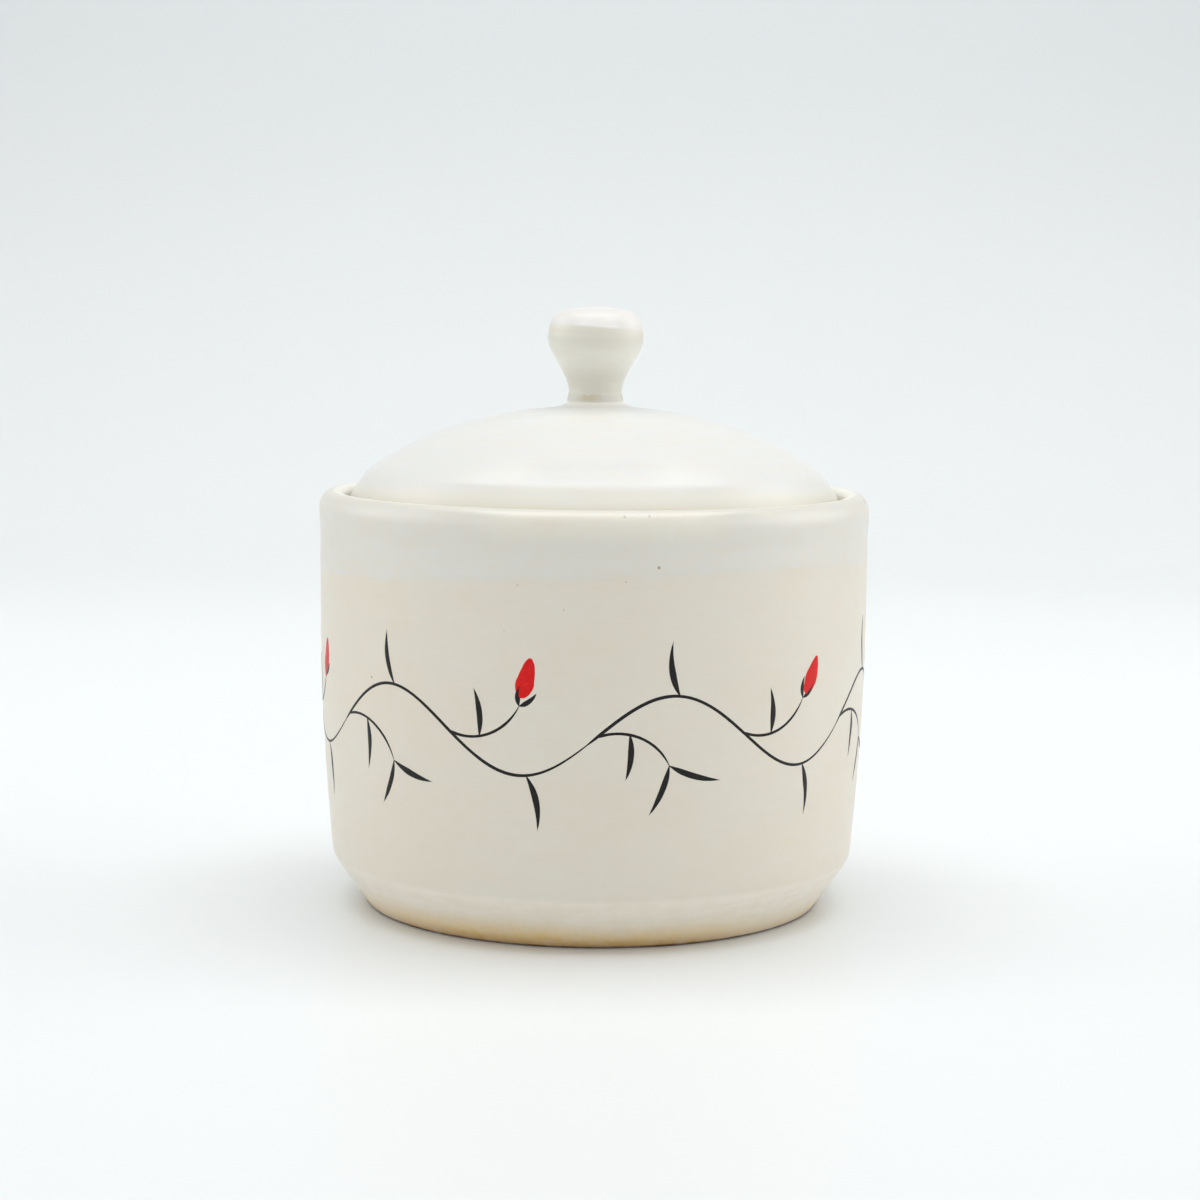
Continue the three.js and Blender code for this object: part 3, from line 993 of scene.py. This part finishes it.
def jar_glaze(colours, sizes):
    """The jar's two glazes, toasted clay at the foot, marks of the firing, and bare clay where it stands,
    with painted light on the bevel and a painted contact shadow in the dark line at the foot.
    """
    finish = Finish("jar_glaze")
    thin = finish.cloud(THIN_GRAIN, detail=3, stretch=(1, 1, 1.6))
    dipped = two_glazes(finish, colours, sizes, thin)
    # The bevel's glaze is whiter than the wall's, and painted lighter still to stand in for light that the
    # down-facing bevel lacks.
    low = finish.step(finish.height, sizes.bevel_height + 0.8 * MM, sizes.bevel_height - 0.4 * MM)
    bevel = finish.mix(low, dipped, colours.bevel)
    grain = finish.cloud(TOAST_GRAIN, detail=4, roughness=0.7)
    stray = finish.step(thin, 0.3, 0.7, -TOAST_STRAY, TOAST_STRAY)
    uneven = finish.plus(stray, finish.step(grain, 0.25, 0.75, -TOAST_RAGGED, TOAST_RAGGED))
    ragged = finish.plus(finish.height, uneven)
    strength = finish.step(finish.facing(TOAST_TURN), 0.58, 1, sizes.toast_sides, 1)
    toast = finish.times(strength, finish.step(ragged, sizes.toast_height, 0))
    toasted = finish.mix(toast, bevel, colours.flash)
    brown = finish.step(finish.height, sizes.scorch_height, -0.5 * sizes.scorch_height)
    browned = finish.mix(finish.times(strength, brown), toasted, colours.scorch)
    # The dark line where the jar stands: browned clay, with painted contact shadow on top of it.
    line = finish.step(finish.height, sizes.scorch_line, 0.3 * sizes.scorch_line)
    base = finish.mix(line, browned, colours.char)
    for angle, height, reach, darkness in FIRING_MARKS:
        mark = finish.times(finish.spot(angle, height, reach), darkness)
        base = finish.mix(mark, base, colours.iron)
    bare = bare_places(finish, sizes)
    return glaze_surface(finish, base, colours, bare, mottling=0.25, matt=finish.most(toast, line))


def lid_glaze(colours, sizes):
    """Whiter glaze on the dome, a warmer tint on its steep band, painted shade low on the dome's front and
    down the edge, painted light at the edge's foot, thicker glaze round the knob's seat, and a bare ring
    where the lid sits.
    """
    finish = Finish("lid_glaze")
    crease = band_top(sizes)
    seat = LID_LOW.z
    # A warmer tint on the steep band below the crease, reaching lower at the sides.
    sideways = finish.reckon("SINE", finish.angle)
    drop = finish.times(finish.times(sideways, sideways), 2.4 * MM)
    low = finish.step(finish.plus(finish.height, drop), crease + 0.6 * MM, crease - 1 * MM)
    shoulder = finish.within(
        finish.height, crease - 0.4 * MM, crease + 1.4 * MM, crease + 2.4 * MM, crease + 5.5 * MM
    )
    # Painted shade on a ring low on the dome, where it faces the front.
    shoulder_painted_shade = finish.times(shoulder, finish.step(finish.facing(), 0.93, 0.99))
    warm = finish.mix(low, finish.mix(shoulder_painted_shade, colours.lid, colours.lid_shoulder_painted_shade), colours.lid_warm)
    # Painted shade: darker down the edge towards the gallery.
    edge = finish.step(finish.height, crease - 1.5 * MM, seat + sizes.edge_height)
    pooled = finish.times(
        finish.step(finish.radius, sizes.knob_foot + 1.4 * MM, sizes.knob_foot + 0.2 * MM),
        finish.step(finish.height, LID_HIGH.z - 4 * MM, LID_HIGH.z - 3 * MM),
    )
    # Painted light: the foot of the edge, down in the gallery, takes the paler pool colour.
    gap_painted_light = finish.step(finish.height, seat + 3.4 * MM, seat + 2.4 * MM)
    thick = finish.most(pooled, gap_painted_light)
    base = finish.mix(thick, finish.mix(edge, warm, colours.lid_edge_painted_shade), colours.pool)
    hollow = LID_HIGH.x - sizes.seat_width
    bare = finish.times(
        finish.step(finish.height, seat + 0.9 * MM, seat + 0.4 * MM),
        finish.step(finish.radius, hollow - 0.8 * MM, hollow),
    )
    return glaze_surface(finish, base, colours, bare, mottling=0.1)


# The flare's pale band is painted light, standing in for light bounced up from the lid.
FLARE_PAINTED_LIGHT = 0.62  # share of the knob's flare below its palest place


def knob_glaze(colours, sizes):
    """The lid's glaze on the knob's cap, and a thinner, warmer one below the cap's crease, with a painted
    highlight along the cap's lower edge at the front and a band of painted light round the flare.
    """
    finish = Finish("knob_glaze")
    neck = KNOB_LOW.z + sizes.neck_height
    crease = neck + sizes.flare_height + sizes.rim_height
    tilted = finish.times(finish.reckon("SINE", finish.angle), sizes.cap_tilt)
    below = finish.step(finish.plus(finish.height, tilted), crease + 0.3 * MM, crease - 0.3 * MM)
    # Painted highlight along the cap's lower edge, strongest at the front.
    front = finish.step(finish.facing(), 0.8, 1, 0.3, 1)
    roll = finish.times(front, finish.step(finish.height, crease + 2.3 * MM, crease + 0.9 * MM))
    # Painted light: a pale band round the middle of the flare.
    away = finish.apart(finish.height, neck + FLARE_PAINTED_LIGHT * sizes.flare_height)
    flare = finish.mix(finish.step(away, 3.8 * MM, 0.4 * MM, 0, 0.8), colours.knob, colours.pool)
    base = finish.mix(below, finish.mix(roll, colours.cap, colours.cap_roll_painted_light), flare)
    foot = finish.step(finish.height, KNOB_LOW.z + 0.1 * MM, KNOB_LOW.z)
    return glaze_surface(finish, base, colours, foot, mottling=0.15)


SLIP_GRAIN = 0.3 * MM  # sand in the slip
PATCH_GRAIN = 1.2 * MM  # ragged edge of the bare patch
PATCH_TURN = -13  # degrees round from the front to the middle of that patch


def slip_clay(colours, sizes):
    """Slip with a sandy grain under thin glaze, bare and tan where it was left thick at the front."""
    finish = Finish("bare_slip")
    grain = finish.cloud(SLIP_GRAIN, detail=4)
    low = SLIP_LOW.z - sizes.slip_below
    high = SLIP_HIGH.z + sizes.slip_above
    glazed = finish.mix(finish.step(finish.height, low, SLIP_LOW.z), colours.pool, colours.slip)
    blended = finish.mix(finish.step(finish.height, SLIP_HIGH.z, high), glazed, colours.knob)
    uneven = finish.step(finish.cloud(PATCH_GRAIN, detail=3), 0.3, 0.7, -0.06, 0.06)
    ragged = finish.plus(finish.apart(finish.angle, math.radians(PATCH_TURN)), uneven)
    off_middle = finish.apart(finish.height, SLIP_HIGH.z)
    patch = finish.times(finish.step(ragged, 0.66, 0.1), finish.step(off_middle, 0.9 * MM, 0.2 * MM))
    sandy = finish.mix(finish.step(grain, 0.3, 0.7, 0, 0.08), blended, colours.clay)
    base = finish.mix(patch, sandy, colours.slip_bare)
    finish.bump(grain, 0.5, 0.08 * MM)
    return finish.finish(base, finish.step(grain, 0.3, 0.7, 0.66, DRY))


POOL_GRAIN = 2.5 * MM  # places where the brush left more paint
BLACK_BRISTLES = 0.35 * MM  # width of the streaks in the black
RED_BRISTLES = 0.5 * MM  # the same in the red


def brushed(name, full, thin, bristles):
    """Underglaze laid on with a brush: streaky, with the bristles' lines in it."""
    finish = Finish(name, specular=0.25)
    streaks = finish.cloud(bristles, detail=4, stretch=(1, 1, 1.8))
    pools = finish.cloud(POOL_GRAIN, detail=2)
    load = finish.times(finish.step(streaks, 0.45, 0.75), finish.step(pools, 0.35, 0.65, 0.3, 1))
    finish.bump(streaks, 0.3, 0.04 * MM)
    return finish.finish(finish.mix(load, full, thin), finish.step(streaks, 0.3, 0.7, 0.34, 0.46))


PAPER_CLOUD = 160 * MM  # faint cloudiness of the paper
PAPER_TOOTH = 0.8 * MM  # its grain
PAPER_DIM = 0.975  # brightness of its darker clouds
# The darker tint up the backdrop is painted shade.
GRADED_HEIGHT = 0.3  # height in metres where the backdrop's own tint is reached


def backdrop_paper(colours):
    """Pale satin paper with a faint cloudiness, and painted shade that grades it darker up the backdrop."""
    finish = Finish("backdrop_paper")
    cloud = finish.cloud(PAPER_CLOUD, detail=2)
    tooth = finish.cloud(PAPER_TOOTH, detail=3)
    cloudy = finish.mix(cloud, colours.paper, [PAPER_DIM * channel for channel in colours.paper])
    # Painted shade: the backdrop grades darker with height.
    graded = finish.mix(finish.step(finish.height, 0, GRADED_HEIGHT), cloudy, colours.paper_top_painted_shade)
    finish.bump(tooth, 0.05, 0.05 * MM)
    return finish.finish(graded, finish.step(tooth, 0.3, 0.7, 0.3, 0.38))


# The studio

# Name of each lamp, its place, and its panel's width and depth, in metres
JAR_LAMPS = (
    ("front", (0, -0.45, 1.05), (1.0, 0.7)),
    ("top", (0, 0.05, 1.1), (1.2, 0.8)),
    ("left", (-0.8, 0.12, 0.45), (0.7, 0.7)),
    ("right", (0.8, 0.12, 0.45), (0.7, 0.7)),
)
WASH_PLACE = (0, 0.3, 0.9)
WASH_PANEL = (1.6, 0.3)
WASH_AIM = 0.2  # how far behind the start of the floor's bend the wash lamp points, in metres
AIR_COLOUR = (0.985, 0.99, 1, 1)
AIR_LOW = 0.35  # rise of a direction, from 0 level to 1 straight up, where the air's light starts to fade
AIR_HIGH = 0.75  # the same where that light has gone
SENSOR_WIDTH = 36  # millimetres


class JAR_OT_set_stage(bpy.types.Operator):
    """Set the floor, the backdrop, the lamps and the camera"""

    bl_idname = "jar.set_stage"
    bl_label = "Set the Stage"

    def execute(self, context):
        studio = context.scene.jar_studio
        make_backdrop(studio, context.scene.jar_colours)
        make_lamps(context, studio)
        make_air(context, studio)
        make_camera(context, studio)
        context.scene.view_settings.view_transform = "Standard"
        return {"FINISHED"}


def make_backdrop(studio, colours):
    """A floor that bends up into a backdrop in one sheet of paper, and a wider floor under it."""
    bend = studio.sweep_radius
    line = np.vstack(
        [
            [(-studio.floor_front, 0)],
            arc((studio.floor_back, bend), bend, bend, -90, 0, 48),
            [(studio.floor_back + bend, studio.sweep_height)],
        ]
    )
    paper = backdrop_paper(colours)
    outer = [(-studio.floor_reach, -studio.floor_drop), (studio.floor_reach, -studio.floor_drop)]
    sheet("backdrop", line, studio.sweep_width, paper)
    sheet("outer_floor", outer, studio.floor_reach, paper)


def sheet(name, line, half_width, material):
    """A sheet that follows a line of (distance back, height) across its whole width."""
    points = []
    faces = []
    for row, (back, height) in enumerate(line):
        points.extend([(-half_width, back, height), (half_width, back, height)])
        if row:
            left = 2 * row
            faces.append((left - 2, left - 1, left + 1, left))
    return new_piece(name, points, faces, material)


def add_lamp(context, name, place, aim, panel, watts):
    """A soft rectangular lamp that points at aim."""
    lamp = bpy.data.lights.new(name, "AREA")
    lamp.shape = "RECTANGLE"
    lamp.size, lamp.size_y = panel
    lamp.energy = watts
    holder = bpy.data.objects.new(name, lamp)
    holder.location = place
    holder.rotation_euler = (Vector(aim) - Vector(place)).to_track_quat("-Z", "Y").to_euler()
    context.scene.collection.objects.link(holder)


def make_lamps(context, studio):
    """Soft lamps above and at both sides, and one that washes the backdrop."""
    jar = (0, 0, BODY_HIGH.z / 2)
    for name, place, panel in JAR_LAMPS:
        add_lamp(context, name + "_lamp", place, jar, panel, getattr(studio, name + "_power"))
    backdrop = (0, studio.floor_back + WASH_AIM, 0)
    add_lamp(context, "wash_lamp", WASH_PLACE, backdrop, WASH_PANEL, studio.wash_power)


def make_air(context, studio):
    """Pale light low all round, which fades out overhead."""
    world = bpy.data.worlds.new("studio_air")
    world.use_nodes = True
    tree = world.node_tree
    air = tree.nodes["Background"]
    air.inputs["Color"].default_value = AIR_COLOUR
    direction = tree.nodes.new("ShaderNodeTexCoord").outputs["Generated"]
    split = tree.nodes.new("ShaderNodeSeparateXYZ")
    fading = tree.nodes.new("ShaderNodeMapRange")
    fading.interpolation_type = "SMOOTHSTEP"
    limits = {"From Min": AIR_LOW, "From Max": AIR_HIGH, "To Min": studio.surround, "To Max": 0}
    for socket, value in limits.items():
        fading.inputs[socket].default_value = value
    tree.links.new(direction, split.inputs[0])
    tree.links.new(split.outputs["Z"], fading.inputs["Value"])
    tree.links.new(fading.outputs[0], air.inputs["Strength"])
    context.scene.world = world


def make_camera(context, studio):
    camera = bpy.data.cameras.new("photo_camera")
    camera.sensor_width = SENSOR_WIDTH
    camera.lens = studio.lens
    holder = bpy.data.objects.new("photo_camera", camera)
    holder.location = (studio.camera_side, -studio.camera_back, studio.camera_height)
    level = Euler((math.pi / 2 - studio.camera_pitch, 0, 0)).to_matrix()
    tilted = Euler((0, 0, studio.camera_roll)).to_matrix()
    holder.rotation_euler = (level @ tilted).to_euler()
    context.scene.collection.objects.link(holder)
    context.scene.camera = holder


# The pieces


class JAR_OT_throw_body(bpy.types.Operator):
    """Throw and glaze the jar's body"""

    bl_idname = "jar.throw_body"
    bl_label = "Throw the Body"

    def execute(self, context):
        sizes = context.scene.jar_body
        glaze = jar_glaze(context.scene.jar_colours, sizes)
        relief = partial(body_relief, sizes)
        stretch = partial(out_of_round, sizes, widest(sizes))
        piece = turned("jar_body_glazed", body_profile(sizes), sizes.segments, glaze, relief, stretch)
        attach(piece, "jar")
        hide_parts("jar_body")
        return {"FINISHED"}


class JAR_OT_throw_lid(bpy.types.Operator):
    """Throw and glaze the lid"""

    bl_idname = "jar.throw_lid"
    bl_label = "Throw the Lid"

    def execute(self, context):
        sizes = context.scene.jar_lid
        glaze = lid_glaze(context.scene.jar_colours, sizes)
        relief = partial(lid_relief, sizes)
        stretch = partial(out_of_round, sizes, LID_HIGH.x)
        piece = turned("lid_glazed", lid_profile(sizes), sizes.segments, glaze, relief, stretch)
        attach(piece, "lid")
        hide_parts("lid")
        return {"FINISHED"}


class JAR_OT_lute_joint(bpy.types.Operator):
    """Brush the slip into the joint between the lid and the knob"""

    bl_idname = "jar.lute_joint"
    bl_label = "Lute the Joint"

    def execute(self, context):
        sizes = context.scene.jar_lid
        clay = slip_clay(context.scene.jar_colours, sizes)
        relief = partial(slip_relief, sizes)
        piece = turned("knob_luting_bead", slip_profile(sizes), sizes.knob_segments, clay, relief)
        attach(piece, "lid")
        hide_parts("knob_luting_slip")
        return {"FINISHED"}


class JAR_OT_turn_knob(bpy.types.Operator):
    """Turn and glaze the knob"""

    bl_idname = "jar.turn_knob"
    bl_label = "Turn the Knob"

    def execute(self, context):
        sizes = context.scene.jar_lid
        glaze = knob_glaze(context.scene.jar_colours, sizes)
        relief = partial(knob_relief, sizes)
        piece = turned("knob_glazed", knob_profile(sizes), sizes.knob_segments, glaze, relief)
        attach(piece, "lid")
        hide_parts("knob")
        return {"FINISHED"}


class JAR_OT_paint_vine(bpy.types.Operator):
    """Brush the vine's black lines round the wall"""

    bl_idname = "jar.paint_vine"
    bl_label = "Paint the Vine"

    def execute(self, context):
        colours = context.scene.jar_colours
        brush = Brush(context.scene.jar_vine, context.scene.jar_body, BRUSH_SEED)
        for wave in range(brush.sizes.repeats):
            paint_wave(brush, wave)
        black = brushed("black_underglaze", colours.black, colours.black_thin, BLACK_BRISTLES)
        piece = brush.piece("vine_lines", black)
        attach(piece, "jar")
        return {"FINISHED"}


class JAR_OT_paint_buds(bpy.types.Operator):
    """Brush the vine's red buds round the wall"""

    bl_idname = "jar.paint_buds"
    bl_label = "Paint the Buds"

    def execute(self, context):
        colours = context.scene.jar_colours
        brush = Brush(context.scene.jar_vine, context.scene.jar_body, BRUSH_SEED + 1)
        for wave in range(brush.sizes.repeats):
            branch = bud_branch(brush, wave)
            bud = brush.sweep(branch[-1], bud_heading(branch), brush.sizes.bud_length, BUD_BEND)
            brush.stroke(bud, bud_width(brush.sizes.bud_width))
        red = brushed("red_underglaze", colours.red, colours.red_thin, RED_BRISTLES)
        piece = brush.piece("vine_buds", red)
        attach(piece, "jar")
        return {"FINISHED"}


class JAR_PT_workshop(bpy.types.Panel):
    """Lists the steps of making the jar and the sizes and colours that they use"""

    bl_idname = "JAR_PT_workshop"
    bl_label = "Pottery Jar"
    bl_space_type = "VIEW_3D"
    bl_region_type = "UI"
    bl_category = "Jar"

    def draw(self, context):
        for operator in OPERATORS:
            self.layout.operator(operator.bl_idname)
        for name in SETTINGS:
            settings = getattr(context.scene, name)
            box = self.layout.box()
            box.label(text=settings.bl_rna.name)
            for value in settings.bl_rna.properties:
                if value.identifier not in ("name", "rna_type"):
                    box.prop(settings, value.identifier)


SETTINGS = {
    "jar_body": JarBodySizes,
    "jar_lid": LidSizes,
    "jar_vine": VineSizes,
    "jar_colours": JarColours,
    "jar_studio": StudioSettings,
}
OPERATORS = (
    JAR_OT_set_stage,
    JAR_OT_throw_body,
    JAR_OT_throw_lid,
    JAR_OT_lute_joint,
    JAR_OT_turn_knob,
    JAR_OT_paint_vine,
    JAR_OT_paint_buds,
)


def register():
    for kind in (*SETTINGS.values(), *OPERATORS, JAR_PT_workshop):
        bpy.utils.register_class(kind)
    for name, kind in SETTINGS.items():
        setattr(bpy.types.Scene, name, PointerProperty(type=kind))


def unregister():
    for name in SETTINGS:
        delattr(bpy.types.Scene, name)
    for kind in (JAR_PT_workshop, *reversed(OPERATORS), *reversed(SETTINGS.values())):
        bpy.utils.unregister_class(kind)


def write_sizes():
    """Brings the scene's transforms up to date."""
    bpy.context.view_layer.update()


def main():
    register()
    bpy.ops.jar.set_stage()
    bpy.ops.jar.throw_body()
    bpy.ops.jar.throw_lid()
    bpy.ops.jar.lute_joint()
    bpy.ops.jar.turn_knob()
    bpy.ops.jar.paint_vine()
    bpy.ops.jar.paint_buds()
    write_sizes()


if __name__ == "__main__":
    main()
